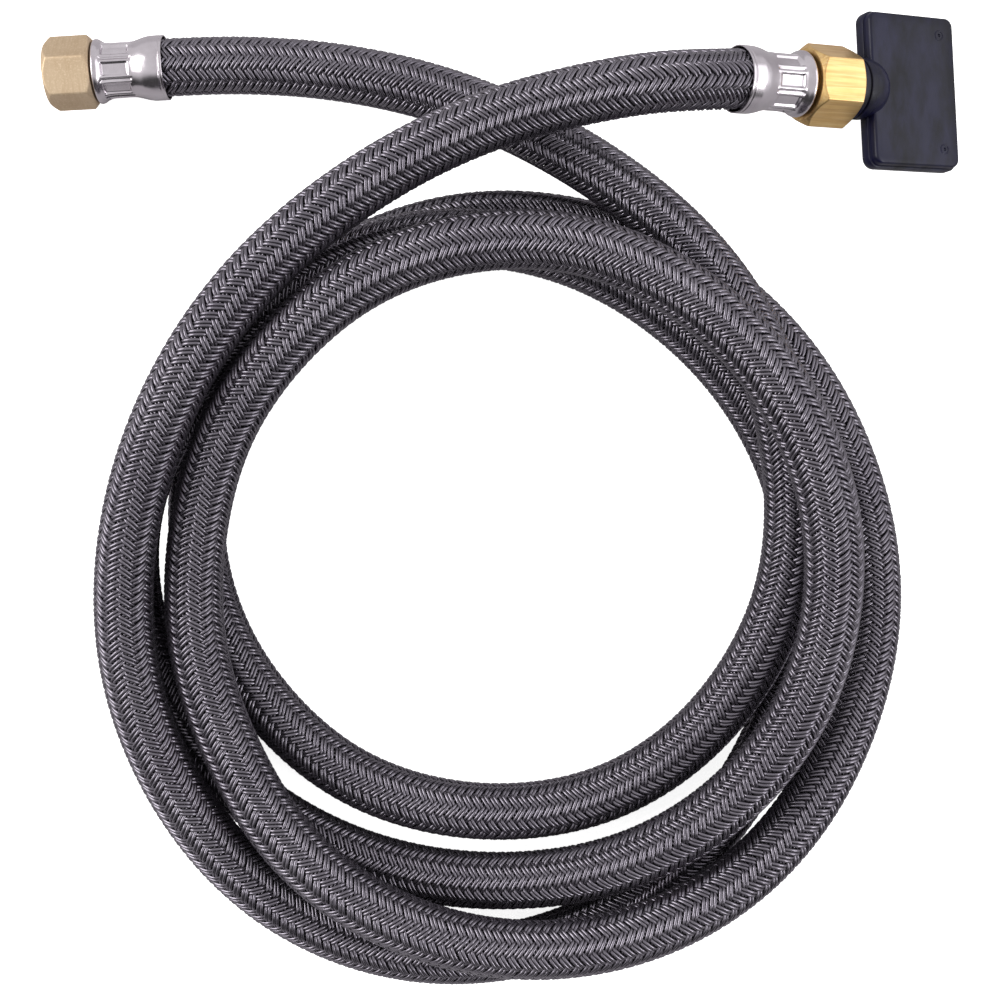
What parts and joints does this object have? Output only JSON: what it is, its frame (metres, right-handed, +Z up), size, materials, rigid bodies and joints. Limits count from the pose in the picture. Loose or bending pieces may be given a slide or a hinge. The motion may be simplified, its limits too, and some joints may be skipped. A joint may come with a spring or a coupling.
{
  "type": "braided supply line",
  "caption": "Loosely coiled braided water hose with a brass hexagon swivel nut and a crimped ferrule on each end, one end closed by a plastic plug.",
  "frame": {"origin": "on the floor under the middle of the box of the two fittings and the plug", "axes": "+X from fitting A (open nut) to fitting B (plugged nut), +Y away from the coil, +Z up"},
  "size_m": [0.2294, 0.2417, 0.0441],
  "materials": {
    "braid": "woven dark satin wire, grey with a violet tint and near-black gaps",
    "liner": "plain extruded black rubber",
    "steel": "polished stainless sheet, crimped",
    "brass_a": "matte machined brass with fine turning lines",
    "brass_b": "brighter machined brass with fine streaks",
    "brass_stem": "turned brass",
    "rubber": "moulded black rubber",
    "plastic": "moulded blue-black plastic, satin, with flow marks"
  },
  "bodies": {
    "hose": {"hose_braid": "braid", "hose_liner": "liner", "ferrule_a": "steel", "ferrule_b": "steel", "nipple_a": "brass_stem", "nipple_b": "brass_stem", "cone_washer_a": "rubber", "cone_washer_b": "rubber"},
    "nut_a": {"nut_a": "brass_a"},
    "nut_b": {"nut_b": "brass_b"},
    "plug": {"plug": "plastic"}
  },
  "joints": [
    {"name": "nut_a_swivel", "type": "hinge", "parent": "hose", "child": "nut_a", "pos_m": [-0.10846, 0.00499, 0.009], "axis": [-0.9982, -0.0593, 0], "continuous": true},
    {"name": "nut_b_swivel", "type": "hinge", "parent": "hose", "child": "nut_b", "pos_m": [0.07752, -0.00105, 0.02015], "axis": [0.9083, 0.0412, -0.4163], "continuous": true},
    {"name": "plug_pull", "type": "slide", "parent": "nut_b", "child": "plug", "axis": [0.9083, 0.0412, -0.4163], "range_m": [0, 0.012]}
  ]
}
